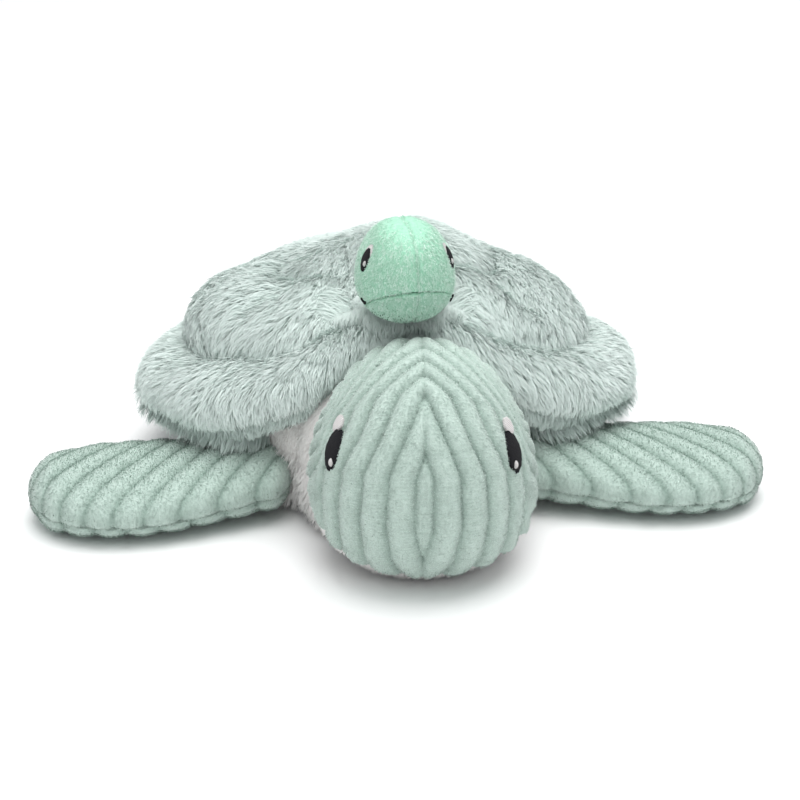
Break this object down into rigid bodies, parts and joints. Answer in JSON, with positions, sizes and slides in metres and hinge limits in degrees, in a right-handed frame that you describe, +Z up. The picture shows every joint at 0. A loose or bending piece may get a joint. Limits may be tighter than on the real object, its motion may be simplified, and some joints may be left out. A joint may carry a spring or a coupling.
{
  "type": "plush turtle",
  "caption": "Stuffed plush sea turtle lying flat, with padded shell, turning head and flippers, and a small turtle that slides out of a pocket in the shell.",
  "frame": {"origin": "middle of the flat face that the belly lies on", "axes": "+X to the turtle's left, -Y the way it faces, +Z up"},
  "size_m": [0.3008, 0.2712, 0.128],
  "materials": {
    "white_plush": "matte",
    "sage_pile": "matte",
    "sage_corduroy": "matte",
    "mint_velour": "matte",
    "lining": "matte",
    "black_thread": "satin",
    "white_thread": "satin"
  },
  "bodies": {
    "body": {"belly": "white_plush", "shell_dome": "sage_pile", "shell_rim": "sage_pile", "pocket_lining": "lining"},
    "head": {"head": "sage_corduroy", "chin": "white_plush", "eye_left": "black_thread", "eye_right": "black_thread", "eye_white_left": "white_thread", "eye_white_right": "white_thread"},
    "front_left": {"front_flipper_left": "sage_corduroy"},
    "front_right": {"front_flipper_right": "sage_corduroy"},
    "rear_left": {"rear_flipper_left": "sage_corduroy"},
    "rear_right": {"rear_flipper_right": "sage_corduroy"},
    "tail": {"tail": "sage_corduroy"},
    "small_turtle": {"baby_body": "mint_velour", "baby_shell": "sage_pile", "baby_head": "mint_velour", "baby_chin": "mint_velour", "baby_eye_left": "black_thread", "baby_eye_right": "black_thread", "baby_mouth_left": "black_thread", "baby_mouth_right": "black_thread", "baby_front_flipper_left": "mint_velour", "baby_front_flipper_right": "mint_velour", "baby_rear_flipper_left": "mint_velour", "baby_rear_flipper_right": "mint_velour"}
  },
  "joints": [
    {"name": "head_turn", "type": "hinge", "parent": "body", "child": "head", "pos_m": [0, -0.05, 0.033], "axis": [0, 0, 1], "range_deg": [-10, 10]},
    {"name": "front_left_sweep", "type": "hinge", "parent": "body", "child": "front_left", "pos_m": [0.044, -0.038, 0.015], "axis": [0, 0, 1], "range_deg": [-12, 20]},
    {"name": "front_right_sweep", "type": "hinge", "parent": "body", "child": "front_right", "pos_m": [-0.044, -0.038, 0.015], "axis": [0, 0, 1], "range_deg": [-20, 12]},
    {"name": "rear_left_sweep", "type": "hinge", "parent": "body", "child": "rear_left", "pos_m": [0.038, 0.064, 0.012], "axis": [0, 0, 1], "range_deg": [-15, 15]},
    {"name": "rear_right_sweep", "type": "hinge", "parent": "body", "child": "rear_right", "pos_m": [-0.038, 0.064, 0.012], "axis": [0, 0, 1], "range_deg": [-15, 15]},
    {"name": "tail_wag", "type": "hinge", "parent": "body", "child": "tail", "pos_m": [0, 0.084, 0.008], "axis": [0, 0, 1], "range_deg": [-15, 15]},
    {"name": "small_turtle_slide", "type": "slide", "parent": "body", "child": "small_turtle", "axis": [0, -0.9397, 0.342], "range_m": [0, 0.11]}
  ]
}
